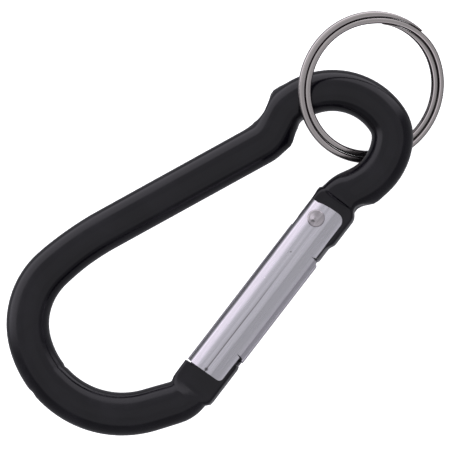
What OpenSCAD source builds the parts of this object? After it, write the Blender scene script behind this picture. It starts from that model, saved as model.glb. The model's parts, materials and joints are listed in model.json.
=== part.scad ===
// Keyring carabiner: a bent round bar with a sprung folded-sheet gate and a split ring in its eye.
// The part lies flat on XY. The origin is the seat of the basket bend, +X points to the eye,
// +Y to the spine and +Z up. The gate is built in a frame of its own: its origin is the hinge
// rivet, its first axis points to the nose and its second to the inside of the basket.

/* [Bar] */
// Diameter of the round bar
bar_d = 7; // [6.8:0.1:7.1]
// Radius of the basket bend's gate half, on the bar's centre line
basket_low_r = 16.6; // [16.5:0.05:16.7]
// Radius of the basket bend's spine half, on the bar's centre line
basket_high_r = 12.4; // [12.3:0.05:12.5]
// Length of the straight spine
spine_l = 30; // [29.8:0.1:30.2]
// Radius of the eye's end, on the bar's centre line
eye_r = 11.3; // [11.2:0.05:11.4]
// Angle between the spine or the gate and the long axis
flank_angle = 12; // [11.8:0.1:12.2]

/* [Pressed ends] */
// Thickness of the pressed tongues
tongue_t = 3.9; // [3.6:0.1:3.9]
// Length of the slope from the round bar down to a tongue
press_l = 2; // [1.6:0.1:2.4]

/* [Gate] */
// Sheet thickness of the gate
sheet_t = 0.7; // [0.5:0.05:0.7]
// Gap between the gate's two walls
gate_gap = 4.2; // [4.2:0.05:4.4]
// Distance from the rivet to the gate's nose end
gate_reach = 31.6; // [31:0.1:31.7]
// Furthest that the gate opens, in degrees
gate_open = 32; // [20:1:32]
// Width of the seam between the gate's return lips
seam_w = 0.8; // [0.4:0.1:1.2]

/* [Hinge and spring] */
// Diameter of the rivet's shank
rivet_d = 1.8; // [1.6:0.1:2]
// Diameter of the rivet's heads
head_d = 2.95; // [2.8:0.05:3.2]
// Height of the rivet's heads
head_h = 0.6; // [0.4:0.05:0.8]
// Diameter of the plunger's head
plunger_d = 3.3; // [3:0.1:3.4]
// Outer diameter of the gate spring
spring_d = 3.2; // [2.8:0.1:3.3]
// Wire diameter of the gate spring
wire_d = 0.45; // [0.35:0.05:0.5]
// Turns in the gate spring
spring_turns = 11; // [8:1:13]

/* [Ring] */
// Outer diameter of the split ring
ring_d = 25.9; // [25.7:0.1:26]
// Radial width of the ring's two turns, which lie one inside the other
ring_w = 2.15; // [2.05:0.05:2.2]
// Height of the ring's flattened wire
ring_h = 1.15; // [0.9:0.05:1.2]
// Tilt of the ring against the bar where it lies, in degrees
ring_tilt = 31; // [30:0.5:34]

/* [Hidden] */
$fn = 64;
eps = 0.01;
joint_gap = 0.01;
dowel_l = 0.8;
dowel_step = 0.05;
bar_r = bar_d / 2;

// The bar's route from the basket's crown, as [straight, bend radius, turn in degrees] steps
kink_turn = 23;
nose_path = [[0, basket_low_r, 66], [4.5, 4.5, 24 + flank_angle]];
eye_path = [
    [0, basket_low_r, -25],
    [0, basket_high_r, -63],
    [0, 47, -2 - flank_angle],
    [spine_l, 5, kink_turn + flank_angle],
    [2.9, 5, -kink_turn],
    [0, eye_r, -97],
    [0, 5.5, -39],
    [0, 9.7, -60],
    [1.7, 4.5, 28]
];

// Hinge, in the part's frame, and the working fits
hinge_at = [48.66, -9.27];
running = 0.05;
slack = 0.06;

// Gate section: web outside face, where the side bends start, the lip's outer face
web_out = 3;
web_in = web_out - sheet_t;
fold_r = 1.2;
lip_out = -4.4;
fold_start = lip_out + fold_r;
wall_edge = -4.05;
wall_z = gate_gap / 2;
gate_z = wall_z + sheet_t;
hinge_end = -2.9;
lip_start = 5.6;
lip_end = 26;
lip_skew = 1;
lip_lap = 0.3;
web_slot_end = 3.2;
tab_at = 17;
tab_w = 2.4;
tab_tip = 1.2;
lance_l = 3.6;

// Hinge tongue: lever arm of its cam, place of its flat end and its two edges
cam_r = 1.4;
cam_a = 2.4;
cam_steps = 8;
axis_b = 0.1;
tongue_in = 2.98;
tongue_out = -4.8;
leg_out = -4.2;
leg_in = -1.95;
leg_end = 5.3;
neck_a = -5.4;

// Nose tongue: its root, its tip and its two edges
nose_root = 32.1;
nose_tip = 27.5;
nose_in = 3.29;
nose_out = -4.6;
nose_neck = 36.6;

// Plunger and spring along the gate
head_l = 0.9;
stem_l = 7;
stem_play = 0.5;
end_rise = 0.3;
coil_steps = 16;
coil_sides = 8;
plunger_a = cam_a + running;
spring_a = plunger_a + head_l;
spring_l = tab_at - spring_a - running;

// Ring place
ring_at = [69.96, 1.98, 0];
ring_turn = 16;
ring_chamfer = 0.25;

// Pose [x, y, heading] after one straight and one bend
function went(p, s) = [p[0] + s[0] * cos(p[2]), p[1] + s[0] * sin(p[2]), p[2]];
function bend_centre(p, s) = [p[0] - sign(s[2]) * s[1] * sin(p[2]), p[1] + sign(s[2]) * s[1] * cos(p[2])];
function bent(p, s) =
    let (c = bend_centre(p, s), h = p[2] + s[2], r = sign(s[2]) * s[1])
    [c[0] + r * sin(h), c[1] - r * cos(h), h];
function pose(path, start, k) =
    k == 0 ? start : let (p = pose(path, start, k - 1), s = path[k - 1]) bent(went(p, s), s);

// Stands children's Z axis along the bar at pose p, shifted along it
module along(p, shift) {
    translate([p[0], p[1], 0]) rotate([0, 90, p[2]]) translate([0, 0, shift]) children();
}

// Short core that joins two steps of the bar at pose p
module dowel(p) {
    along(p, -dowel_l / 2) cylinder(r = bar_r - dowel_step, h = dowel_l);
}

// Round bar along one path. Its steps stop a hair short of each other and a dowel joins them
module bar_run(path, start) {
    for (k = [0 : len(path) - 1]) {
        s = path[k];
        p = pose(path, start, k);
        q = went(p, s);
        c = bend_centre(q, s);
        hair = joint_gap / s[1] * 180 / PI;
        side = s[2] > 0 ? -90 : 90;
        translate([c[0], c[1], 0]) rotate([0, 0, q[2] + side + min(0, s[2]) + hair])
            rotate_extrude(angle = abs(s[2]) - 2 * hair, $fn = 96) translate([s[1], 0]) circle(r = bar_r);
        dowel(p);
        if (s[0] > 0) {
            along(p, joint_gap) cylinder(r = bar_r, h = s[0] - 2 * joint_gap);
            dowel(q);
        }
    }
}

// Puts children, built in the gate's frame, in their place on the part
module at_gate() {
    translate([hinge_at[0], hinge_at[1], 0]) rotate([0, 0, flank_angle]) mirror([1, 0, 0]) children();
}

// Wedges that press the round bar down to a tongue; the slope ends at a, and dir points away from the tongue
module press(a, dir) {
    run = press_l;
    rise = bar_r - tongue_t / 2;
    for (s = [-1, 1])
        translate([a, bar_d, 0]) rotate([90, 0, 0]) linear_extrude(2 * bar_d)
            polygon([
                [-dir * 2 * run, s * tongue_t / 2],
                [0, s * tongue_t / 2],
                [dir * 1.5 * run, s * (tongue_t / 2 + 1.5 * rise)],
                [-dir * 2 * run, s * (tongue_t / 2 + 1.5 * rise)]
            ]);
}

// Cam of the hinge tongue: an involute, so the plunger's travel is cam_r times the gate's angle
function cam(t) =
    let (a = cam_a + cam_r * t * PI / 180)
    [a * cos(t) - cam_r * sin(t), a * sin(t) + cam_r * cos(t)];

module hinge_tongue() {
    difference() {
        translate([0, 0, -tongue_t / 2]) linear_extrude(tongue_t)
            polygon(concat(
                [[neck_a, 2.6], [-4.6, tongue_in], [1.2, tongue_in]],
                [for (k = [cam_steps : -1 : 0]) cam(gate_open * k / cam_steps)],
                [[cam_a, leg_in], [leg_end, leg_in], [leg_end, leg_out], [3, leg_out], [2.4, leg_out - 0.25],
                 [1.7, tongue_out], [-3.2, tongue_out], [neck_a, -4.1]]));
        translate([0, 0, -bar_r]) cylinder(r = rivet_d / 2 + running, h = bar_d);
    }
}

module nose_tongue() {
    translate([0, 0, -tongue_t / 2]) linear_extrude(tongue_t) {
        difference() {
            polygon([[nose_neck, nose_in - 0.3], [nose_root, nose_in], [nose_root, web_in - slack],
                     [nose_tip, web_in - slack], [nose_tip, nose_out + 0.4], [nose_tip + 0.4, nose_out],
                     [nose_root + 2, nose_out], [nose_neck, nose_out + 0.1]]);
            translate([nose_tip, web_in - slack]) corner(0.8, 1, -1);
        }
    }
}

// What a rounded corner of radius r takes away; sa and sb point from the corner into the material
module corner(r, sa, sb) {
    difference() {
        polygon([[-sa, -sb], [sa * r, -sb], [sa * r, sb * r], [-sa, sb * r]]);
        translate([sa * r, sb * r]) circle(r);
    }
}

module body_bar() {
    color([0.03, 0.03, 0.035]) {
        difference() {
            union() {
                bar_run(nose_path, [-bar_r, 0, -90]);
                bar_run(eye_path, [-bar_r, 0, 90]);
            }
            at_gate() press(35.2, 1);
            at_gate() press(-3.7, -1);
        }
        at_gate() hinge_tongue();
        at_gate() nose_tongue();
    }
}

// The flat channel: the web and two walls up to where the side bends start
module channel() {
    rotate([90, 0, 90]) translate([0, 0, hinge_end]) linear_extrude(gate_reach - hinge_end)
        difference() {
            union() {
                translate([fold_start, -gate_z]) square([web_out - fold_r - fold_start, 2 * gate_z]);
                translate([fold_start, fold_r - gate_z])
                    square([web_out - fold_start, 2 * (gate_z - fold_r)]);
                for (s = [-1, 1]) translate([web_out - fold_r, s * (gate_z - fold_r)]) circle(fold_r);
            }
            translate([fold_start - 1, -wall_z]) square([web_in - fold_start + 1, gate_gap]);
        }
}

// The return lips that close the middle of the gate on its outer side, with a strip of each wall
module lips() {
    inner_r = fold_r - sheet_t;
    rotate([90, 0, 90]) linear_extrude(gate_reach)
        difference() {
            union() {
                translate([fold_start, -gate_z]) square([lip_lap, 2 * gate_z]);
                translate([lip_out, fold_r - gate_z]) square([fold_r + lip_lap, 2 * (gate_z - fold_r)]);
                for (s = [-1, 1]) translate([fold_start, s * (gate_z - fold_r)]) circle(fold_r);
            }
            translate([lip_out + sheet_t, inner_r - wall_z]) square([4, gate_gap - 2 * inner_r]);
            translate([fold_start, -wall_z]) square([4, gate_gap]);
            for (s = [-1, 1]) translate([fold_start, s * (wall_z - inner_r)]) circle(inner_r);
            translate([lip_out - 1, -seam_w / 2]) square([2, seam_w]);
        }
}

// How far the lips' slanted ends have moved towards the nose at height z
function skew_at(z) = lip_skew * (gate_z - z) / (2 * gate_z);

// A prism with slanted ends that keeps the lips in the middle of the gate
module lip_window() {
    translate([0, lip_out - 1, 0]) rotate([-90, 0, 0]) linear_extrude(fold_r + 1 + lip_lap / 2)
        polygon([[lip_start, -gate_z], [lip_end, -gate_z],
                 [lip_end + lip_skew, gate_z], [lip_start + lip_skew, gate_z]]);
}

// Flat wall edges at the two ends of the gate, where the lips are cut away
module wall_edges() {
    for (s = [-1, 1]) {
        skew = skew_at(s * (wall_z + sheet_t / 2));
        low = s > 0 ? wall_z : -gate_z;
        hinge_l = lip_start + skew + lip_lap / 2 - hinge_end;
        nose_l = gate_reach - lip_end - skew + lip_lap / 2;
        translate([hinge_end, wall_edge, low]) cube([hinge_l, fold_start - wall_edge + lip_lap, sheet_t]);
        translate([gate_reach - nose_l, wall_edge, low])
            cube([nose_l, fold_start - wall_edge + lip_lap, sheet_t]);
    }
}

// Stop for the spring, a tab lanced out of the lips and bent in across the channel
module spring_tab() {
    root = lip_out + sheet_t / 2;
    translate([tab_at, root, -tab_w / 2]) cube([sheet_t, tab_tip - root, tab_w]);
}

module gate_shell() {
    color([0.75, 0.75, 0.78]) at_gate() difference() {
        union() {
            channel();
            intersection() {
                lips();
                lip_window();
            }
            wall_edges();
            spring_tab();
        }
        translate([0, 0, -gate_z - 1]) cylinder(r = rivet_d / 2, h = 2 * gate_z + 2);
        translate([hinge_end - 1, web_in - 1, -wall_z]) cube([web_slot_end - hinge_end + 1, 3, gate_gap]);
        translate([tab_at + sheet_t, lip_out - 1, -tab_w / 2]) cube([lance_l, 3, tab_w]);
        translate([0, 0, -gate_z - 1]) linear_extrude(2 * gate_z + 2) {
            translate([hinge_end, wall_edge]) corner(1.3, 1, 1);
            translate([hinge_end, web_out]) corner(1, 1, -1);
            translate([gate_reach, wall_edge]) corner(0.6, -1, 1);
        }
    }
}

// Head of the rivet: a low cone with a rounded foot
module rivet_head() {
    rotate_extrude() polygon([[0, 0], [head_d / 2, 0], [head_d / 2, 0.12], [head_d / 2 * 0.86, head_h * 0.5],
                              [head_d / 2 * 0.5, head_h * 0.8], [0, head_h]]);
}

module hinge_rivet() {
    color([0.7, 0.69, 0.69]) at_gate() {
        translate([0, 0, -gate_z - head_h / 2]) cylinder(r = rivet_d / 2, h = 2 * gate_z + head_h);
        translate([0, 0, gate_z]) rivet_head();
        translate([0, 0, -gate_z]) mirror([0, 0, 1]) rivet_head();
    }
}

module spring_plunger() {
    color([0.6, 0.6, 0.62]) at_gate() translate([plunger_a, axis_b, 0]) rotate([0, 90, 0]) {
        cylinder(d = plunger_d, h = head_l);
        cylinder(d = spring_d - 2 * wire_d - stem_play, h = head_l + stem_l);
    }
}

// Rise of the spring's wire after t turns, in pitches; its two end turns close up
function coil_rise(t) =
    end_rise * min(t, 1) + max(0, min(t - 1, spring_turns - 2)) + end_rise * max(0, t - spring_turns + 1);

module gate_spring() {
    r = (spring_d - wire_d) / 2;
    rise = (spring_l - wire_d) / coil_rise(spring_turns);
    rings = spring_turns * coil_steps;
    pts = [for (i = [0 : rings], j = [0 : coil_sides - 1])
        let (t = i / coil_steps, a = 360 * j / coil_sides, q = r + wire_d / 2 * cos(a))
        [q * cos(360 * t), q * sin(360 * t), wire_d / 2 * (1 + sin(a)) + rise * coil_rise(t)]];
    walls = [for (i = [0 : rings - 1], j = [0 : coil_sides - 1])
        let (k = i * coil_sides, m = (j + 1) % coil_sides)
        [k + j, k + coil_sides + j, k + coil_sides + m, k + m]];
    caps = [[for (j = [0 : coil_sides - 1]) j], [for (j = [coil_sides - 1 : -1 : 0]) rings * coil_sides + j]];
    color([0.62, 0.62, 0.64]) at_gate() translate([spring_a, axis_b, 0]) rotate([0, 90, 0])
        polyhedron(pts, concat(walls, caps), convexity = 10);
}

// Section of one turn of flattened wire at radius r, chamfered on its four edges
module ring_turn_section(r) {
    w = ring_w / 4 + eps;
    h = ring_h / 2;
    c = ring_chamfer;
    translate([r, 0])
        polygon([[c - w, -h], [w - c, -h], [w, c - h], [w, h - c],
                 [w - c, h], [c - w, h], [-w, h - c], [-w, c - h]]);
}

module split_ring() {
    color([0.55, 0.52, 0.52]) translate(ring_at) rotate([0, 0, ring_turn]) rotate([ring_tilt, 0, 0])
        rotate_extrude($fn = 96) for (k = [1, 3]) ring_turn_section(ring_d / 2 - k * ring_w / 4);
}

body_bar();
gate_shell();
hinge_rivet();
spring_plunger();
gate_spring();
split_ring();
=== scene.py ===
import bpy
import bmesh
import json
import math
from mathutils import Matrix, Vector


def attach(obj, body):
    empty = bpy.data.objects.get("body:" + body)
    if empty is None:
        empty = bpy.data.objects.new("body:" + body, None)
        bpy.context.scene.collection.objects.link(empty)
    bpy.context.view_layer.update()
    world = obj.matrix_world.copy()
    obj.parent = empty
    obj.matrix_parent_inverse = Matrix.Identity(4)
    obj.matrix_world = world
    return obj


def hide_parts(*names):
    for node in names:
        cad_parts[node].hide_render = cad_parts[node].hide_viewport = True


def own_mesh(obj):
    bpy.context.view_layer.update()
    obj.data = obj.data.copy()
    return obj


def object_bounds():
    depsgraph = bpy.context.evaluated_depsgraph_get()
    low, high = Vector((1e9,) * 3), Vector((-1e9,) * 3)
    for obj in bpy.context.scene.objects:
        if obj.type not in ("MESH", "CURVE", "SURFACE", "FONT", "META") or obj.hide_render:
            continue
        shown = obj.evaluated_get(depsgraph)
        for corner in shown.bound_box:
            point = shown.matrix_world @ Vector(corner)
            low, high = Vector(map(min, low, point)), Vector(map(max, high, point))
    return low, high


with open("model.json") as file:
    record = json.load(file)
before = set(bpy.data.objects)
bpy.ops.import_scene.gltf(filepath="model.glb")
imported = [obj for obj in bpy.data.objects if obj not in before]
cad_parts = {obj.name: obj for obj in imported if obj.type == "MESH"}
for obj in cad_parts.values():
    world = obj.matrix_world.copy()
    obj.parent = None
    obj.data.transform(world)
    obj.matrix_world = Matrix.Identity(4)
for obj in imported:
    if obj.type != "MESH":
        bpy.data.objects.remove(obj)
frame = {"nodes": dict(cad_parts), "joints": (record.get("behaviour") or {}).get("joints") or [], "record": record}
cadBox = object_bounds()
scene = bpy.context.scene
mm = 0.001
near = 0.01  # how closely two places in millimetres count as one
record = frame["record"]
joints = {joint["name"]: joint for joint in frame["joints"]}
mounts = {mount["name"]: mount for mount in record["mounts"]}
print("frame loaded:", sorted(frame["nodes"]))

# The gate's own frame: first axis from the rivet to the nose, second to the inside of the basket
hingeAt = Vector(joints["gate_hinge"]["pos_m"]) / mm
toNose = Vector(joints["plunger_slide"]["axis"]).normalized()
toInside = Vector((toNose.y, -toNose.x, 0))
gateAngle = math.atan2(-toNose.y, -toNose.x)
gatePlace = Matrix.Translation(hingeAt) @ Matrix.Rotation(gateAngle, 4, "Z") @ Matrix.Scale(-1, 4, (1, 0, 0))


def toGate(point):
    offset = point - hingeAt
    return offset.dot(toNose), offset.dot(toInside)


def between(stations, x):
    # straight-line values of a list of stations (x, value, value ...)
    if x <= stations[0][0]:
        return stations[0][1:]
    for low, high in zip(stations, stations[1:]):
        if x <= high[0]:
            part = (x - low[0]) / (high[0] - low[0])
            return [p + (q - p) * part for p, q in zip(low[1:], high[1:])]
    return stations[-1][1:]


def ease(x):
    x = max(0.0, min(1.0, x))
    return x * x * (3 - 2 * x)


def ringParts(geom):
    verts = [g for g in geom if isinstance(g, bmesh.types.BMVert)]
    edges = [g for g in geom if isinstance(g, bmesh.types.BMEdge)]
    return verts, edges


def extrudeRing(bm, ring, move):
    # carries a section's outline along and gives back the new outline
    made = bmesh.ops.extrude_edge_only(bm, edges=ringParts(ring)[1])["geom"]
    made = [g for g in made if not isinstance(g, bmesh.types.BMFace)]
    bmesh.ops.translate(bm, vec=move, verts=ringParts(made)[0])
    return made


def makePiece(bm, name, body, nodes, material, place=None, sharp=40, recalc=True):
    # scales the mesh from millimetres, names it, and sets it on its body in place of its CAD nodes
    if place is not None:
        bmesh.ops.transform(bm, matrix=place, verts=bm.verts)
    bmesh.ops.scale(bm, vec=(mm, mm, mm), verts=bm.verts)
    if recalc:
        bmesh.ops.recalc_face_normals(bm, faces=bm.faces)
    mesh = bpy.data.meshes.new(name)
    bm.to_mesh(mesh)
    bm.free()
    mesh.shade_smooth()
    mesh.set_sharp_from_angle(angle=math.radians(sharp))
    piece = bpy.data.objects.new(name, mesh)
    scene.collection.objects.link(piece)
    mesh.materials.append(material)
    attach(piece, body)
    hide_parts(*nodes)
    print("made", name, len(mesh.polygons), "faces")
    return piece


# Node helpers for the finishes


def addNode(tree, kind, **settings):
    node = tree.nodes.new(kind)
    for key, value in settings.items():
        setattr(node, key, value)
    return node


def setInputs(node, **values):
    for key, value in values.items():
        node.inputs[key.replace("_", " ")].default_value = value
    return node


def newGroup(name, inputs, outputs):
    group = bpy.data.node_groups.new(name, "ShaderNodeTree")
    for label, kind, value in inputs:
        socket = group.interface.new_socket(name=label, in_out="INPUT", socket_type=kind)
        if value is not None:
            socket.default_value = value
    for label, kind in outputs:
        group.interface.new_socket(name=label, in_out="OUTPUT", socket_type=kind)
    return group, group.nodes.new("NodeGroupInput"), group.nodes.new("NodeGroupOutput")


def calc(tree, operation, first, second=None, clamp=False):
    node = addNode(tree, "ShaderNodeMath", operation=operation, use_clamp=clamp)
    for socket, value in zip(node.inputs, (first, second)):
        if isinstance(value, (int, float)):
            socket.default_value = value
        elif value is not None:
            tree.links.new(value, socket)
    return node.outputs[0]


def spread(tree, value, low, high, outLow=0.0, outHigh=1.0):
    node = addNode(tree, "ShaderNodeMapRange", interpolation_type="SMOOTHSTEP")
    tree.links.new(value, node.inputs["Value"])
    for label, number in (("From Min", low), ("From Max", high), ("To Min", outLow), ("To Max", outHigh)):
        node.inputs[label].default_value = number
    return node.outputs["Result"]


def blendColour(tree, mask, first, second):
    node = addNode(tree, "ShaderNodeMix", data_type="RGBA")
    tree.links.new(mask, node.inputs[0])
    for socket, value in ((node.inputs[6], first), (node.inputs[7], second)):
        if isinstance(value, tuple):
            socket.default_value = (*value, 1)
        else:
            tree.links.new(value, socket)
    return node.outputs[2]


def paintShadeAndHighlight(tree, value, shadeAndHighlightBands, low, high, tint, pink=0.07):
    # a colour ramp of painted highlight and painted shade on tinted metal, from a list of (place, how light), the
    # lightest a little pink
    node = addNode(tree, "ShaderNodeValToRGB")
    tree.links.new(calc(tree, "DIVIDE", calc(tree, "SUBTRACT", value, low), high - low), node.inputs["Fac"])
    ramp = node.color_ramp
    while len(ramp.elements) < len(shadeAndHighlightBands):
        ramp.elements.new(0.5)
    for element, (place, tone) in zip(ramp.elements, shadeAndHighlightBands):
        element.position = (place - low) / (high - low)
        red, green, blue = (min(1, tone * part) for part in tint)
        element.color = (red, green * (1 - pink * tone * tone), blue, 1)
    return node.outputs["Color"]


def makeSmudgeGroup():
    # soft handling marks and fine dust specks, in the coordinates it is given
    group, start, end = newGroup(
        "smudgeAndSpeck",
        [("Vector", "NodeSocketVector", None), ("Smudge Scale", "NodeSocketFloat", 120.0),
         ("Speck Scale", "NodeSocketFloat", 900.0), ("Speck Size", "NodeSocketFloat", 0.06)],
        [("Smudge", "NodeSocketFloat"), ("Speck", "NodeSocketFloat"), ("Height", "NodeSocketFloat")])
    smudge = setInputs(addNode(group, "ShaderNodeTexNoise"), Detail=4.0, Roughness=0.6, Distortion=0.6)
    group.links.new(start.outputs["Vector"], smudge.inputs["Vector"])
    group.links.new(start.outputs["Smudge Scale"], smudge.inputs["Scale"])
    specks = addNode(group, "ShaderNodeTexVoronoi", feature="F1")
    group.links.new(start.outputs["Vector"], specks.inputs["Vector"])
    group.links.new(start.outputs["Speck Scale"], specks.inputs["Scale"])
    fine = setInputs(addNode(group, "ShaderNodeTexNoise"), Scale=2600.0, Detail=3.0, Roughness=0.55)
    group.links.new(start.outputs["Vector"], fine.inputs["Vector"])
    inside = calc(group, "LESS_THAN", specks.outputs["Distance"], start.outputs["Speck Size"])
    chosen = calc(group, "GREATER_THAN", smudge.outputs["Fac"], 0.56)
    group.links.new(spread(group, smudge.outputs["Fac"], 0.38, 0.68), end.inputs["Smudge"])
    group.links.new(calc(group, "MULTIPLY", inside, chosen), end.inputs["Speck"])
    group.links.new(fine.outputs["Fac"], end.inputs["Height"])
    return group


def makeDrawnGroup():
    # fine lines left by drawing or polishing, running along the first axis of the coordinates
    group, start, end = newGroup(
        "drawnLines",
        [("Vector", "NodeSocketVector", None), ("Stretch", "NodeSocketFloat", 0.03),
         ("Line Scale", "NodeSocketFloat", 6.0)],
        [("Lines", "NodeSocketFloat"), ("Scratch", "NodeSocketFloat")])
    parts = addNode(group, "ShaderNodeSeparateXYZ")
    group.links.new(start.outputs["Vector"], parts.inputs[0])
    joined = addNode(group, "ShaderNodeCombineXYZ")
    stretched = calc(group, "MULTIPLY", parts.outputs["X"], start.outputs["Stretch"])
    group.links.new(stretched, joined.inputs["X"])
    group.links.new(parts.outputs["Y"], joined.inputs["Y"])
    group.links.new(parts.outputs["Z"], joined.inputs["Z"])
    lines = setInputs(addNode(group, "ShaderNodeTexNoise"), Detail=5.0, Roughness=0.7)
    group.links.new(joined.outputs[0], lines.inputs["Vector"])
    group.links.new(start.outputs["Line Scale"], lines.inputs["Scale"])
    marks = setInputs(addNode(group, "ShaderNodeTexNoise"), Scale=1.1, Detail=6.0, Roughness=0.75)
    group.links.new(start.outputs["Vector"], marks.inputs["Vector"])
    group.links.new(lines.outputs["Fac"], end.inputs["Lines"])
    group.links.new(spread(group, marks.outputs["Fac"], 0.66, 0.74), end.inputs["Scratch"])
    return group


smudgeGroup = makeSmudgeGroup()
drawnGroup = makeDrawnGroup()


def startMaterial(name):
    material = bpy.data.materials.new(name)
    material.use_nodes = True
    tree = material.node_tree
    shader = tree.nodes["Principled BSDF"]
    coordinates = addNode(tree, "ShaderNodeTexCoord")
    return material, tree, shader, coordinates.outputs["Object"]


def useGroup(tree, group, vector, **values):
    node = addNode(tree, "ShaderNodeGroup", node_tree=group)
    tree.links.new(vector, node.inputs["Vector"])
    return setInputs(node, **values)


def useMarks(tree, vector, finish):
    return useGroup(tree, smudgeGroup, vector, Smudge_Scale=finish["smudgeScale"],
                    Speck_Scale=finish["speckScale"], Speck_Size=finish["speckSize"])


def gateVector(tree, vector):
    # object coordinates turned into millimetres in the gate's frame
    node = addNode(tree, "ShaderNodeMapping")
    node.inputs["Scale"].default_value = (-1 / mm, 1 / mm, 1 / mm)
    node.inputs["Rotation"].default_value = (0, 0, gateAngle)
    node.inputs["Location"].default_value = (-hingeAt.dot(toNose), -hingeAt.dot(toInside), 0)
    tree.links.new(vector, node.inputs["Vector"])
    return node.outputs["Vector"]


def addBump(tree, shader, height, strength, distance):
    bump = addNode(tree, "ShaderNodeBump")
    bump.inputs["Strength"].default_value = strength
    bump.inputs["Distance"].default_value = distance
    tree.links.new(height, bump.inputs["Height"])
    tree.links.new(bump.outputs["Normal"], shader.inputs["Normal"])


# The bar

bar = {
    "radius": 3.5, "sides": 48, "stepLength": 0.8, "stepAngle": 6.0, "leastRun": 0.05,
    "crown": (-3.5, 0.0),
    # straight length, bend radius and turn in degrees, from the crown of the basket outwards
    "noseRoute": [(0, 16.6, 66), (4.5, 4.5, 36)],
    "eyeRoute": [(0, 16.6, -25), (0, 12.4, -63), (0, 47, -14), (30, 5, 35), (2.9, 5, -23),
                 (0, 11.3, -97), (0, 5.5, -39), (0, 9.7, -60), (1.7, 4.5, 28)],
    # distance from the rivet, inner edge, outer edge, half thickness and squareness of the pressed ends
    "nosePress": [(27.5, 1.6, -4.05, 1.55, 5), (27.75, 2.04, -4.45, 1.85, 6), (28.3, 2.24, -4.58, 1.95, 6),
                  (32.06, 2.24, -4.6, 1.95, 6), (32.12, 3.26, -4.6, 1.95, 6), (34.9, 3.22, -4.62, 1.95, 6),
                  (36.3, 3.1, -4.5, 2.75, 3)],
    "hingePress": [(-5.4, 2.7, -3.95, 2.8, 2.8), (-4.6, 2.98, -4.3, 2.3, 3), (-3.8, 2.98, -4.7, 1.95, 5),
                   (-3.2, 2.98, -4.8, 1.95, 6), (1.2, 2.98, -4.8, 1.95, 6), (1.7, 2.93, -4.78, 1.95, 6),
                   (1.96, 2.87, -4.66, 1.95, 6), (2.16, 2.49, -4.56, 1.95, 6), (2.3, 2.1, -4.5, 1.95, 6),
                   (2.375, 1.75, -4.47, 1.95, 6), (2.4, 1.4, -4.45, 1.95, 6), (2.46, -1.95, -4.42, 1.95, 6),
                   (3.0, -1.95, -4.2, 1.95, 6), (5.1, -1.95, -4.2, 1.95, 6), (5.3, -2.2, -4.0, 1.7, 5)],
    "rampStart": 37.3, "rampEnd": 34.9, "tongueHalf": 1.95,
    "neckStart": -7.6, "neckEnd": -5.4, "neckHalf": 2.8, "neckSquare": 0.8, "neckReach": 3.0,
    "swell": 0.15, "swellFrom": 16.0, "swellOver": 10.0,
    # creases and corners that the bending tool leaves: place, reach and push
    "creases": [
        ((53.2, 10.3, 0), 2.4, (0.20, -0.60, 0)), ((54.1, 11.0, 0), 3.2, (0.40, -0.65, 0)),
        ((50.9, 10.3, 0), 2.0, (0.0, 0.20, 0)), ((57.3, 11.9, 0), 2.2, (-0.10, 0.36, 0)),
        ((53.6, 3.6, 0), 2.2, (0.05, -0.36, 0)), ((57.8, 5.0, 0), 2.4, (-0.05, 0.35, 0)),
        ((52.0, -5.2, 0), 2.0, (-0.12, 0.30, 0)), ((55.2, -12.4, 0), 2.4, (0.25, 0.65, 0)),
        ((57.9, -13.3, 0), 2.2, (0.10, -0.20, 0)),
    ],
    # the lacquer: its darkest and lightest tones, its dust, the size of its marks and its gloss
    "dark": (0.0030, 0.0026, 0.0044), "light": (0.0062, 0.0056, 0.0084), "dust": (0.30, 0.28, 0.27),
    "smudgeScale": 110.0, "speckScale": 300.0, "speckSize": 0.035, "roughness": (0.12, 0.24), "ior": 1.35,
    "bumpStrength": 0.12, "bumpDepth": 0.00002,
}


def shapeRing(verts, centre, left, across, high, squareness, shift=0.0):
    # turns a round section into a flatter and squarer one about its centre
    for vert in verts:
        offset = vert.co - centre
        side = offset.dot(left) / bar["radius"]
        rise = offset.z / bar["radius"]
        side = math.copysign(abs(side) ** (2 / squareness), side)
        rise = math.copysign(abs(rise) ** (2 / squareness), rise)
        vert.co = centre + left * (shift + across * side) + Vector((0, 0, high * rise))


def sweepRoute(bm, ring, route, heading):
    # carries the section along the straights and bends and lists each ring with its centre and heading
    x, y = bar["crown"]
    rings = []
    for straight, bendRadius, turn in route:
        direction = Vector((math.cos(heading), math.sin(heading), 0))
        steps = math.ceil(straight / bar["stepLength"])
        for k in range(steps):
            ring = extrudeRing(bm, ring, direction * straight / steps)
            x += direction.x * straight / steps
            y += direction.y * straight / steps
            rings.append((ringParts(ring)[0], Vector((x, y, 0)), heading))
        side = math.copysign(1, turn)
        centre = Vector((x - side * bendRadius * math.sin(heading),
                         y + side * bendRadius * math.cos(heading), 0))
        arc = bendRadius * math.radians(abs(turn))
        steps = max(math.ceil(abs(turn) / bar["stepAngle"]), math.ceil(arc / bar["stepLength"]))
        for k in range(steps):
            angle = math.radians(turn) / steps
            spun = bmesh.ops.spin(bm, geom=ring, cent=centre, axis=(0, 0, 1), angle=angle, steps=1)
            ring = spun["geom_last"]
            heading += angle
            x = centre.x + side * bendRadius * math.sin(heading)
            y = centre.y - side * bendRadius * math.cos(heading)
            rings.append((ringParts(ring)[0], Vector((x, y, 0)), heading))
    return ring, rings


def pressEnd(bm, ring, centre, stations, direction):
    # runs the last ring along the gate through the stations, pressed flat, and closes it
    along = toGate(centre)[0]
    ahead = [s for s in stations if (s[0] - along) * direction > bar["leastRun"]]
    for station in sorted(ahead, key=lambda s: s[0] * direction):
        distance = station[0] - toGate(centre)[0]
        steps = max(1, math.ceil(abs(distance) / bar["stepLength"]))
        for k in range(steps):
            ring = extrudeRing(bm, ring, toNose * distance / steps)
            centre = centre + toNose * distance / steps
            yield ringParts(ring)[0], centre
    bmesh.ops.contextual_create(bm, geom=ringParts(ring)[1])


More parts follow.
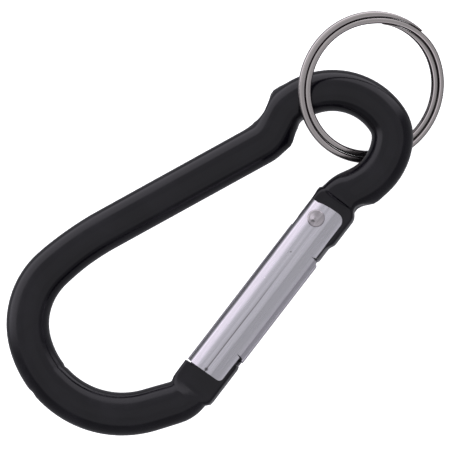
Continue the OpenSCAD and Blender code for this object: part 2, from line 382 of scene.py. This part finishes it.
def pressRings(rings, stations, across):
    for verts, centre in rings:
        inner, outer, half, square = between(stations, toGate(centre)[0])
        middle = (inner + outer) / 2 - across
        shapeRing(verts, centre, toInside, (inner - outer) / 2, half, square, middle)


def pushAround(bm, centre, reach, push):
    # a soft local push that dies away with distance
    for vert in bm.verts:
        closeness = 1 - (vert.co - Vector(centre)).length / reach
        vert.co += Vector(push) * ease(closeness)


def makeBar(material):
    bm = bmesh.new()
    bmesh.ops.create_circle(bm, segments=bar["sides"], radius=bar["radius"])
    bmesh.ops.rotate(bm, cent=(0, 0, 0), matrix=Matrix.Rotation(math.pi / 2, 3, "X"), verts=bm.verts)
    bmesh.ops.translate(bm, vec=(*bar["crown"], 0), verts=bm.verts)
    start = list(bm.verts) + list(bm.edges)
    noseEnd, noseRings = sweepRoute(bm, start, bar["noseRoute"], -math.pi / 2)
    eyeEnd, eyeRings = sweepRoute(bm, start, bar["eyeRoute"], math.pi / 2)
    for end, rings, stations, direction in ((noseEnd, noseRings, bar["nosePress"], -1),
                                            (eyeEnd, eyeRings, bar["hingePress"], 1)):
        last = rings[-1][1]
        pressed = list(pressEnd(bm, end, last.copy(), stations, direction))
        pressRings(pressed, stations, toGate(last)[1])
    for verts, centre, heading in noseRings + eyeRings:
        swell = bar["swell"] * ease((bar["swellFrom"] - centre.x) / bar["swellOver"])
        left = Vector((-math.sin(heading), math.cos(heading), 0))
        shapeRing(verts, centre, left, bar["radius"] + swell, bar["radius"], 2)
    for verts, centre, heading in noseRings:
        ramp = (bar["rampStart"] - toGate(centre)[0]) / (bar["rampStart"] - bar["rampEnd"])
        if ramp > 0:
            left = Vector((-math.sin(heading), math.cos(heading), 0))
            half = bar["radius"] + (bar["tongueHalf"] - bar["radius"]) * min(1, ramp)
            shapeRing(verts, centre, left, bar["radius"], half, 2 + ramp)
    for verts, centre, heading in eyeRings:
        along, across = toGate(centre)
        ramp = (along - bar["neckStart"]) / (bar["neckEnd"] - bar["neckStart"])
        if ramp > 0 and across < bar["neckReach"]:
            left = Vector((-math.sin(heading), math.cos(heading), 0))
            half = bar["radius"] + (bar["neckHalf"] - bar["radius"]) * min(1, ramp)
            shapeRing(verts, centre, left, bar["radius"], half, 2 + bar["neckSquare"] * min(1, ramp))
    for centre, reach, push in bar["creases"]:
        pushAround(bm, centre, reach, push)
    return makePiece(bm, "lacquered_bar", "bar", ["body_bar"], material, sharp=50)


def makeLacquer():
    material, tree, shader, vector = startMaterial("blackLacquer")
    marks = useMarks(tree, vector, bar)
    tone = blendColour(tree, marks.outputs["Smudge"], bar["dark"], bar["light"])
    colour = blendColour(tree, marks.outputs["Speck"], tone, bar["dust"])
    tree.links.new(colour, shader.inputs["Base Color"])
    rough = spread(tree, marks.outputs["Smudge"], 0, 1, *bar["roughness"])
    tree.links.new(rough, shader.inputs["Roughness"])
    shader.inputs["IOR"].default_value = bar["ior"]
    addBump(tree, shader, marks.outputs["Height"], bar["bumpStrength"], bar["bumpDepth"])
    return material


# The folded gate

gate = {
    "wallZ": 2.8, "webRadius": 1.6, "lipRadius": 1.0, "foldSteps": 10, "sheet": 0.7,
    "webOut": 3.0, "lipOut": -4.4, "wallEdge": -4.05,
    "noseInner": 31.75, "noseOuter": 31.5, "lipStart": 5.6, "lipEnd": 26.0, "lipSkew": 1.0,
    "seam": 0.8, "hingeRound": 1.3, "noseRound": 0.7, "slotEnd": 3.2, "slotHalf": 2.1,
    # the curved hinge end, as distance from the rivet and place across
    "hingeEnd": [(-2.3, 1.4), (-2.6, 0.5), (-2.82, -1.0), (-2.88, -2.4)],
    "wallStart": -2.8, "lipSlant": 0.25,
    "tabAt": 17.0, "tabHalf": 1.2, "tabTip": 1.2, "rimRound": 0.13, "rimSegments": 3, "mergeGap": 0.001,
    # painted highlight and shade bands: place across the gate and how light the metal is there; the bright band
    # near the web is a painted reflection and the dark strip at the web's bend is painted shade
    "bandFrom": -4.5, "bandTo": 3.5, "creaseAt": -0.84, "tint": (1.0, 1.0, 1.04),
    "shadeAndHighlightBands": [(-4.3, 0.80), (-3.9, 0.46), (-3.4, 0.38), (-2.3, 0.37), (-2.14, 0.35), (-1.95, 0.46),
              (-1.6, 0.52), (-1.1, 0.53), (-0.62, 0.44), (-0.4, 0.53), (-0.15, 0.55), (0.02, 0.49),
              (0.3, 0.50), (0.6, 0.60), (0.82, 0.78), (1.1, 0.97), (1.85, 0.98), (2.02, 0.36),
              (2.17, 0.07), (2.3, 0.07), (2.48, 0.13),
              (2.8, 0.75)],
    # small spots painted on the upper wall, a dark one, a light one and painted shade where the crease ends at the
    # nose: place along and across, radius and tone
    "marks": [(7.0, -0.09, 0.17, 0.05), (13.1, 0.8, 0.15, 0.98), (31.2, -0.85, 0.4, 0.06)],
    # tones and strengths of the painted shade in the crease, the drawn lines and the scratches, and the gloss
    "creaseShadeTone": (0.10, 0.09, 0.09), "lineTone": (0.36, 0.36, 0.40), "lineStrength": 0.14,
    "scratchTone": (0.9, 0.9, 0.92), "scratchStrength": 0.5, "lineStretch": 0.05, "lineScale": 5.0,
    "driftScale": 0.09, "drift": 0.15, "roughness": (0.24, 0.36), "bumpStrength": 0.35, "bumpDepth": 0.00003,
}


def wallOutline():
    edge = gate["wallEdge"]
    fold = gate["lipOut"] + gate["lipRadius"]
    inner = gate["webOut"] - gate["webRadius"]
    slant = gate["lipSlant"]
    return ([(gate["noseInner"], inner), (gate["slotEnd"], inner)] + gate["hingeEnd"] +
            [(gate["wallStart"], edge), (gate["lipStart"] - slant, edge), (gate["lipStart"], fold),
             (gate["lipEnd"], fold), (gate["lipEnd"] + slant, edge), (gate["noseOuter"], edge)])


def extrudeEdges(bm, edges, move):
    made = bmesh.ops.extrude_edge_only(bm, edges=edges)["geom"]
    verts, newEdges = ringParts(made)
    bmesh.ops.translate(bm, vec=move, verts=verts)
    return newEdges


def foldEdges(bm, edges, centreAcross, radius, angle):
    centre = (0, centreAcross, gate["wallZ"] - radius)
    spun = bmesh.ops.spin(bm, geom=edges + list({v for e in edges for v in e.verts}), cent=centre,
                          axis=(1, 0, 0), angle=angle, steps=gate["foldSteps"])
    return ringParts(spun["geom_last"])[1]


def edgesAt(bm, test):
    return [e for e in bm.edges if all(test(v.co) for v in e.verts)]


def cutSlot(bm, faces, height):
    # opens the web at the hinge end, below a height, so that the bar's tongue can come through
    geom = list({g for f in faces for g in (f, *f.edges, *f.verts)})
    cut = bmesh.ops.bisect_plane(bm, geom=geom, plane_co=(0, 0, height), plane_no=(0, 0, 1))["geom"]
    low = [g for g in cut if isinstance(g, bmesh.types.BMFace) and g.calc_center_median().z < height]
    bmesh.ops.delete(bm, geom=low, context="FACES")


def makeGate(material):
    bm = bmesh.new()
    fold = gate["lipOut"] + gate["lipRadius"]
    inner = gate["webOut"] - gate["webRadius"]
    verts = [bm.verts.new((a, b, gate["wallZ"])) for a, b in wallOutline()]
    bm.faces.new(verts)
    hingeCorner = verts[2 + len(gate["hingeEnd"])]
    corners = [(hingeCorner, gate["hingeRound"]), (verts[-1], gate["noseRound"])]
    webEdges = edgesAt(bm, lambda p: abs(p.y - inner) < near)
    lipEdges = edgesAt(bm, lambda p: abs(p.y - fold) < near)
    downWeb = foldEdges(bm, webEdges, inner, gate["webRadius"], -math.pi / 2)
    extrudeEdges(bm, downWeb, (0, 0, gate["webRadius"] - gate["wallZ"]))
    downLip = foldEdges(bm, lipEdges, fold, gate["lipRadius"], math.pi / 2)
    extrudeEdges(bm, downLip, (0, 0, gate["lipRadius"] - gate["wallZ"] + gate["seam"] / 2))
    for vert, size in corners:
        bmesh.ops.bevel(bm, geom=[vert], offset=size, segments=8, profile=0.5, affect="VERTICES",
                        material=-1)
    slotFaces = [f for f in bm.faces if f.calc_center_median().y > inner and
                 f.calc_center_median().x < gate["slotEnd"]]
    cutSlot(bm, slotFaces, gate["slotHalf"])
    bmesh.ops.mirror(bm, geom=list(bm.verts) + list(bm.edges) + list(bm.faces), matrix=Matrix.Identity(4),
                     merge_dist=gate["mergeGap"], axis="Z")
    bmesh.ops.remove_doubles(bm, verts=bm.verts, dist=gate["mergeGap"])
    for vert in bm.verts:
        if vert.co.y < fold + near and gate["lipStart"] - near < vert.co.x < gate["lipEnd"] + near:
            vert.co.x += gate["lipSkew"] * (gate["wallZ"] - vert.co.z) / (2 * gate["wallZ"])
    bmesh.ops.recalc_face_normals(bm, faces=bm.faces)
    web = max(bm.faces, key=lambda f: f.calc_center_median().y)
    if web.normal.y < 0:
        bmesh.ops.reverse_faces(bm, faces=bm.faces)
    addTab(bm)
    piece = makePiece(bm, "folded_gate", "gate", ["gate_shell"], material, gatePlace,
                      recalc=False)
    piece.data.flip_normals()
    shell = piece.modifiers.new("sheet", "SOLIDIFY")
    shell.thickness = gate["sheet"] * mm
    shell.offset = -1
    rim = piece.modifiers.new("rim", "BEVEL")
    rim.width = gate["rimRound"] * mm
    rim.segments = gate["rimSegments"]
    rim.limit_method = "ANGLE"
    rim.angle_limit = math.radians(50)
    return piece


def addTab(bm):
    # the spring's stop, lanced out of the lips and bent in across the channel
    root = gate["lipOut"] + gate["sheet"] / 2
    tab = bmesh.ops.create_grid(bm, x_segments=1, y_segments=1, size=1)["verts"]
    bmesh.ops.scale(bm, vec=(gate["tabHalf"], (gate["tabTip"] - root) / 2, 1), verts=tab)
    bmesh.ops.rotate(bm, cent=(0, 0, 0), matrix=Matrix.Rotation(math.pi / 2, 3, "Y"), verts=tab)
    bmesh.ops.translate(bm, vec=(gate["tabAt"], (gate["tabTip"] + root) / 2, 0), verts=tab)


def makeGateMetal():
    material, tree, shader, vector = startMaterial("polishedGate")
    place = gateVector(tree, vector)
    parts = addNode(tree, "ShaderNodeSeparateXYZ")
    tree.links.new(place, parts.inputs[0])
    lines = useGroup(tree, drawnGroup, place, Stretch=gate["lineStretch"], Line_Scale=gate["lineScale"])
    # slow wander of the painted highlight and shade bands along the gate
    wander = setInputs(addNode(tree, "ShaderNodeTexNoise"), Scale=gate["driftScale"], Detail=2.0)
    tree.links.new(place, wander.inputs["Vector"])
    drift = calc(tree, "MULTIPLY", calc(tree, "SUBTRACT", wander.outputs["Fac"], 0.5), gate["drift"])
    across = calc(tree, "ADD", parts.outputs["Y"], drift)
    # painted highlight and shade across the gate, put into the base colour
    shadeAndHighlightBands = paintShadeAndHighlight(tree, across, gate["shadeAndHighlightBands"], gate["bandFrom"], gate["bandTo"], gate["tint"])
    # painted shade along the long crease, strongest at the nose end; the same mask dents the bump
    offCrease = calc(tree, "ABSOLUTE", calc(tree, "SUBTRACT", across, gate["creaseAt"]))
    creaseDentAndShade = calc(tree, "MULTIPLY", spread(tree, offCrease, 0.03, 0.12, 1.0, 0.0),
                  spread(tree, parts.outputs["X"], 3.0, 24.0, 0.05, 0.85))
    streak = spread(tree, lines.outputs["Lines"], 0.42, 0.62)
    toned = blendColour(tree, calc(tree, "MULTIPLY", streak, gate["lineStrength"]), shadeAndHighlightBands, gate["lineTone"])
    scratch = calc(tree, "MULTIPLY", lines.outputs["Scratch"], gate["scratchStrength"])
    scratched = blendColour(tree, scratch, toned, gate["scratchTone"])
    # paints the crease's shade into the base colour
    colour = blendColour(tree, creaseDentAndShade, scratched, gate["creaseShadeTone"])
    # paints each spot into the colour; the last is painted shade at the crease's nose end
    for along, aside, size, tone in gate["marks"]:
        apart = addNode(tree, "ShaderNodeVectorMath", operation="DISTANCE")
        tree.links.new(place, apart.inputs[0])
        apart.inputs[1].default_value = (along, aside, gate["wallZ"])
        spot = spread(tree, apart.outputs["Value"], 0.4 * size, size, 0.85, 0.0)
        colour = blendColour(tree, spot, colour, (tone, tone * 0.95, tone))
    tree.links.new(colour, shader.inputs["Base Color"])
    shader.inputs["Metallic"].default_value = 1.0
    rough = spread(tree, lines.outputs["Lines"], 0.3, 0.7, *gate["roughness"])
    tree.links.new(rough, shader.inputs["Roughness"])
    height = calc(tree, "SUBTRACT", lines.outputs["Lines"], creaseDentAndShade)
    addBump(tree, shader, height, gate["bumpStrength"], gate["bumpDepth"])
    return material


# The rivet, the plunger and the spring

rivet = {
    "gateZ": 2.8, "radius": 0.9, "turnSteps": 48, "leanFrom": 0.25, "lean": 0.6,
    # height over the gate's wall and radius of one head, from the rim to the tip
    "head": [(0.0, 1.43), (0.1, 1.475), (0.2, 1.43), (0.25, 1.2), (0.36, 0.82), (0.56, 0.4), (0.72, 0.14),
             (0.75, 0.0)],
    "dark": (0.09, 0.085, 0.09), "light": (0.66, 0.62, 0.64), "roughness": 0.18, "lineScale": 1.6,
}
plunger = {
    "start": 2.45, "headLength": 0.9, "headRadius": 1.65, "stemLength": 7.0, "stemRadius": 0.9, "axisB": 0.1,
    "frontEdge": 0.15, "backEdge": 0.1, "fillet": 0.15, "tipEdge": 0.3, "turnSteps": 40,
    "dark": (0.40, 0.40, 0.42), "light": (0.60, 0.60, 0.62), "roughness": 0.3, "lineScale": 8.0,
}
spring = {
    "start": 3.35, "end": 16.95, "radius": 1.375, "wire": 0.225, "turns": 11, "turnSteps": 24,
    "sides": 10, "endRise": 0.3, "keep": 0.941,
    "dark": (0.42, 0.42, 0.44), "light": (0.62, 0.62, 0.64), "roughness": 0.3, "lineScale": 8.0,
}
# what the three metals share: how their lines and marks lie, and the grime in the marks
plainMetal = {
    "lineStretch": 0.15, "smudgeScale": 500.0, "speckScale": 1500.0, "speckSize": 0.12,
    "grime": (0.12, 0.10, 0.10), "grimeStrength": 0.8, "roughnessSpread": 0.14,
    "bumpStrength": 0.4, "bumpDepth": 0.00003,
}


def makeSpun(points, steps):
    # a closed solid of revolution about the first axis, from (place along it, radius) points
    bm = bmesh.new()
    verts = [bm.verts.new((x, radius, 0)) for x, radius in points]
    edges = [bm.edges.new(pair) for pair in zip(verts, verts[1:])]
    bmesh.ops.spin(bm, geom=verts + edges, cent=(0, 0, 0), axis=(1, 0, 0), angle=2 * math.pi, steps=steps,
                   use_merge=True)
    bmesh.ops.remove_doubles(bm, verts=bm.verts, dist=0.0005)
    return bm


def makeRivet(material):
    upper = [(rivet["gateZ"] + height, radius) for height, radius in rivet["head"]]
    lower = [(-x, radius) for x, radius in reversed(upper)]
    shank = [(-rivet["gateZ"], rivet["radius"]), (rivet["gateZ"], rivet["radius"])]
    bm = makeSpun(lower + shank + upper, rivet["turnSteps"])
    bmesh.ops.rotate(bm, cent=(0, 0, 0), matrix=Matrix.Rotation(-math.pi / 2, 3, "Y"), verts=bm.verts)
    for vert in bm.verts:
        over = max(0, abs(vert.co.z) - rivet["gateZ"] - rivet["leanFrom"])
        vert.co.x += rivet["lean"] * over
    return makePiece(bm, "hinge_rivet_peened", "gate", ["hinge_rivet"], material, gatePlace,
                     sharp=60)


def makePlunger(material):
    start = plunger["start"]
    neck = start + plunger["headLength"]
    tip = neck + plunger["stemLength"]
    radius, stem = plunger["headRadius"], plunger["stemRadius"]
    front, back = plunger["frontEdge"], plunger["backEdge"]
    fillet, end = plunger["fillet"], plunger["tipEdge"]
    bm = makeSpun([(start, 0), (start, radius - front), (start + front, radius), (neck - back, radius),
                   (neck, radius - back), (neck, stem + fillet), (neck + fillet, stem), (tip - end, stem),
                   (tip, stem - end), (tip, 0)], plunger["turnSteps"])
    bmesh.ops.translate(bm, vec=(0, plunger["axisB"], 0), verts=bm.verts)
    return makePiece(bm, "plunger_turned", "plunger", ["spring_plunger"], material,
                     gatePlace)


def makeSpring(material):
    bm = bmesh.new()
    bmesh.ops.create_circle(bm, segments=spring["sides"], radius=spring["wire"], cap_ends=True)
    bmesh.ops.translate(bm, vec=(0, spring["radius"], 0), verts=bm.verts)
    length = spring["end"] - spring["start"] - 2 * spring["wire"]
    pitch = length / (spring["turns"] - 2 + 2 * spring["endRise"])
    geom = list(bm.faces)
    for turns, rise in ((1, spring["endRise"]), (spring["turns"] - 2, 1), (1, spring["endRise"])):
        steps = turns * spring["turnSteps"]
        move = (pitch * rise / spring["turnSteps"], 0, 0)
        spun = bmesh.ops.spin(bm, geom=geom, cent=(0, 0, 0), axis=(1, 0, 0), dvec=move,
                              angle=2 * math.pi * turns, steps=steps)
        geom = [g for g in spun["geom_last"] if isinstance(g, bmesh.types.BMFace)]
    bmesh.ops.translate(bm, vec=(spring["start"] + spring["wire"], plunger["axisB"], 0), verts=bm.verts)
    piece = makePiece(bm, "spring_coiled", "gate", ["gate_spring"], material, gatePlace)
    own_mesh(piece)
    return piece


def makePlainMetal(name, piece):
    # a worn bright metal: two tones mixed by drawn lines, with handling marks in its roughness
    material, tree, shader, vector = startMaterial(name)
    place = gateVector(tree, vector)
    lines = useGroup(tree, drawnGroup, place, Stretch=plainMetal["lineStretch"],
                     Line_Scale=piece["lineScale"])
    marks = useMarks(tree, vector, plainMetal)
    toned = blendColour(tree, lines.outputs["Lines"], piece["dark"], piece["light"])
    grime = calc(tree, "MULTIPLY", marks.outputs["Speck"], plainMetal["grimeStrength"])
    tree.links.new(blendColour(tree, grime, toned, plainMetal["grime"]), shader.inputs["Base Color"])
    shader.inputs["Metallic"].default_value = 1.0
    rougher = piece["roughness"] + plainMetal["roughnessSpread"]
    tree.links.new(spread(tree, marks.outputs["Smudge"], 0, 1, piece["roughness"], rougher),
                   shader.inputs["Roughness"])
    height = calc(tree, "ADD", lines.outputs["Lines"], marks.outputs["Smudge"])
    addBump(tree, shader, height, plainMetal["bumpStrength"], plainMetal["bumpDepth"])
    return material


# The split ring

ring = {
    "wireWidth": 1.05, "wireHeight": 1.15, "wireRound": 0.38, "stepAngle": 3.0,
    "outerRadius": 12.42, "innerRadius": 11.33, "tipWidth": 0.15,
    # angles from the swing axis: the outer end, the start and end of the cross-over, the inner end
    "outerEnd": -8.0, "crossStart": 328.5, "crossEnd": 402.5, "innerEnd": 745.0,
    # how light the wire is from its inner edge to its outer edge: painted shade along the inner edge, a thin
    # painted highlight beside it, and tones across the rest
    "shadeAndHighlightBands": [(-0.5, 0.02), (-0.40, 0.03), (-0.33, 0.10), (-0.26, 0.85), (-0.17, 0.34), (0.1, 0.30),
              (0.3, 0.42), (0.5, 0.45)],
    "tint": (1.04, 0.99, 0.94),
    # handling marks on the plating, and its gloss
    "smudgeScale": 260.0, "speckScale": 1400.0, "speckSize": 0.05,
    "smudgeStrength": 0.25, "speckStrength": 0.6,
    "smudgeTone": (0.42, 0.39, 0.38), "speckTone": (0.2, 0.17, 0.15), "roughness": (0.16, 0.28),
    "bumpStrength": 0.15, "bumpDepth": 0.00002,
}


def crossPart(angle):
    # how far the wire has crossed from the outer turn to the inner one
    return ease((angle - ring["crossStart"]) / (ring["crossEnd"] - ring["crossStart"]))


def makeRing(material):
    bm = bmesh.new()
    layer = bm.verts.layers.float.new("acrossWire")
    section = bmesh.ops.create_grid(bm, x_segments=1, y_segments=1, size=0.5)["verts"]
    bmesh.ops.scale(bm, vec=(ring["wireWidth"], ring["wireHeight"], 1), verts=section)
    bmesh.ops.bevel(bm, geom=section, offset=ring["wireRound"], segments=4, profile=0.5, affect="VERTICES",
                    material=-1)
    bmesh.ops.rotate(bm, cent=(0, 0, 0), matrix=Matrix.Rotation(math.pi / 2, 3, "X"), verts=bm.verts)
    bmesh.ops.translate(bm, vec=(ring["outerRadius"], 0, 0), verts=bm.verts)
    bmesh.ops.rotate(bm, cent=(0, 0, 0), matrix=Matrix.Rotation(math.radians(ring["outerEnd"]), 3, "Z"),
                     verts=bm.verts)
    steps = round((ring["innerEnd"] - ring["outerEnd"]) / ring["stepAngle"])
    turn = (ring["innerEnd"] - ring["outerEnd"]) / steps
    geom = list(bm.faces)
    sections = [(list(bm.verts), ring["outerEnd"])]
    for k in range(steps):
        spun = bmesh.ops.spin(bm, geom=geom, cent=(0, 0, 0), axis=(0, 0, 1), angle=math.radians(turn),
                              steps=1)
        geom = [g for g in spun["geom_last"] if isinstance(g, bmesh.types.BMFace)]
        sections.append((ringParts(spun["geom_last"])[0], ring["outerEnd"] + (k + 1) * turn))
    for verts, angle in sections:
        # each end is ground thin to fill the room beside the wire that crosses over
        crossed = crossPart(angle)
        outerTip = max(ring["tipWidth"], crossPart(angle + 360))
        innerTip = max(ring["tipWidth"], 1 - crossPart(angle - 360))
        outwards = Vector((math.cos(math.radians(angle)), math.sin(math.radians(angle)), 0))
        for vert in verts:
            part = (vert.co.dot(outwards) - ring["outerRadius"]) / ring["wireWidth"]
            vert[layer] = part
            slim = 0.5 - (0.5 - part) * outerTip
            slim = (slim + 0.5) * innerTip - 0.5
            move = (slim - part) * ring["wireWidth"] + crossed * (ring["innerRadius"] - ring["outerRadius"])
            vert.co += outwards * move
    normal = Vector(mounts["key_ring"]["axis"]).normalized()
    swing = Vector(joints["ring_swing"]["axis"]).normalized()
    turned = Matrix((swing, normal.cross(swing), normal)).transposed().to_4x4()
    place = Matrix.Translation(Vector(mounts["key_ring"]["pos_m"]) / mm) @ turned
    return makePiece(bm, "split_ring_coiled", "ring", ["split_ring"], material, place,
                     sharp=60)


def makeNickel():
    material, tree, shader, vector = startMaterial("nickelPlate")
    marks = useMarks(tree, vector, ring)
    across = addNode(tree, "ShaderNodeAttribute", attribute_name="acrossWire")
    # paints shade and highlight across the wire into the base colour, by the acrossWire place
    shadeAndHighlightBands = paintShadeAndHighlight(tree, across.outputs["Fac"], ring["shadeAndHighlightBands"], -0.5, 0.5, ring["tint"])
    smudge = calc(tree, "MULTIPLY", marks.outputs["Smudge"], ring["smudgeStrength"])
    speck = calc(tree, "MULTIPLY", marks.outputs["Speck"], ring["speckStrength"])
    toned = blendColour(tree, smudge, shadeAndHighlightBands, ring["smudgeTone"])
    colour = blendColour(tree, speck, toned, ring["speckTone"])
    tree.links.new(colour, shader.inputs["Base Color"])
    shader.inputs["Metallic"].default_value = 1.0
    rough = spread(tree, marks.outputs["Smudge"], 0, 1, *ring["roughness"])
    tree.links.new(rough, shader.inputs["Roughness"])
    addBump(tree, shader, marks.outputs["Height"], ring["bumpStrength"], ring["bumpDepth"])
    return material


# Floor, light and camera

studio = {
    "viewFrom": (0.045, -0.18, 0.983), "lengthwiseTurn": 40.65, "lookAt": (0.03615, 0.00057, 0.0),
    "distance": 0.58, "fieldWidth": 0.07575, "sensor": 36.0,
    "floorDrop": 0.0002, "floorSize": 6.0,
    # the room: brightness overhead, at the window and elsewhere, and where each begins as a cosine
    "ceiling": (0.79, 0.78, 0.83), "window": (1.75, 1.70, 1.85), "walls": (0.30, 0.30, 0.32),
    "ceilingEdge": (0.40, 0.54), "windowEdge": (0.10, 0.55), "windowFoot": (-0.52, -0.34), "windowTurn": 112,
    "panelDistance": 0.75, "panelSize": 0.7, "panelBrightness": 0.06,
    "paperDark": (0.90, 0.90, 0.90), "paperLight": (0.92, 0.92, 0.92), "paperGrain": 40.0,
    "paperRoughness": 0.9, "paperGlow": 0.95,
}


def makeCamera():
    toCamera = Vector(studio["viewFrom"]).normalized()
    lengthwise = (Vector((1, 0, 0)) - toCamera * toCamera.x).normalized()
    sideways = toCamera.cross(lengthwise)
    turn = math.radians(studio["lengthwiseTurn"])
    right = lengthwise * math.cos(turn) - sideways * math.sin(turn)
    up = lengthwise * math.sin(turn) + sideways * math.cos(turn)
    camera = bpy.data.objects.new("camera", bpy.data.cameras.new("camera"))
    scene.collection.objects.link(camera)
    camera.data.sensor_width = studio["sensor"]
    camera.data.lens = studio["sensor"] * studio["distance"] / studio["fieldWidth"]
    turned = Matrix((right, up, toCamera)).transposed().to_4x4()
    target = Vector(studio["lookAt"])
    camera.matrix_world = Matrix.Translation(target + toCamera * studio["distance"]) @ turned
    scene.camera = camera
    return right, up, toCamera, target


def addPanel(name, target, direction):
    # a soft overhead panel that faces the object, equally bright all over
    light = bpy.data.lights.new(name, "AREA")
    light.shape = "SQUARE"
    light.size = studio["panelSize"]
    light.energy = 4 * studio["panelSize"] ** 2 * studio["panelBrightness"]
    panel = bpy.data.objects.new(name, light)
    scene.collection.objects.link(panel)
    panel.location = target + direction * studio["panelDistance"]
    panel.rotation_euler = direction.to_track_quat("Z", "Y").to_euler()


def facing(tree, direction, axis):
    node = addNode(tree, "ShaderNodeVectorMath", operation="DOT_PRODUCT")
    tree.links.new(direction, node.inputs[0])
    node.inputs[1].default_value = axis
    return node.outputs["Value"]


def makeRoom(toCamera, toWindow):
    # even light from above, a tall window on one side and dim walls round the rest
    world = bpy.data.worlds.new("studio")
    world.use_nodes = True
    tree = world.node_tree
    direction = addNode(tree, "ShaderNodeTexCoord").outputs["Generated"]
    height = facing(tree, direction, toCamera)
    ceiling = spread(tree, height, *studio["ceilingEdge"])
    window = calc(tree, "MULTIPLY", spread(tree, facing(tree, direction, toWindow), *studio["windowEdge"]),
                  spread(tree, height, *studio["windowFoot"]))
    walls = blendColour(tree, window, studio["walls"], studio["window"])
    colour = blendColour(tree, ceiling, walls, studio["ceiling"])
    tree.links.new(colour, tree.nodes["Background"].inputs["Color"])
    scene.world = world


def makeStudio():
    right, up, toCamera, target = makeCamera()
    turn = math.radians(studio["windowTurn"])
    makeRoom(toCamera, right * math.cos(turn) + up * math.sin(turn))
    addPanel("overhead", target, toCamera)
    bpy.ops.mesh.primitive_plane_add(size=studio["floorSize"], location=(target.x, target.y, 0))
    floor = bpy.context.object
    floor.name = "floor"
    floor.location.z = cadBox[0].z - studio["floorDrop"]
    floor.data.materials.append(makeFloorPaint())
    floor.visible_glossy = False
    scene.view_settings.view_transform = "Standard"


def makeFloorPaint():
    material, tree, shader, vector = startMaterial("palePaper")
    grain = setInputs(addNode(tree, "ShaderNodeTexNoise"), Scale=studio["paperGrain"], Detail=2.0)
    tree.links.new(vector, grain.inputs["Vector"])
    colour = blendColour(tree, grain.outputs["Fac"], studio["paperDark"], studio["paperLight"])
    tree.links.new(colour, shader.inputs["Base Color"])
    shader.inputs["Roughness"].default_value = studio["paperRoughness"]
    shader.inputs["Emission Color"].default_value = (1, 1, 1, 1)
    shader.inputs["Emission Strength"].default_value = studio["paperGlow"]
    return material


makeStudio()
print("studio ready")
makeBar(makeLacquer())
makeGate(makeGateMetal())
makeRivet(makePlainMetal("peenedAluminium", rivet))
makePlunger(makePlainMetal("turnedSteel", plunger))
makeSpring(makePlainMetal("drawnWire", spring))
makeRing(makeNickel())
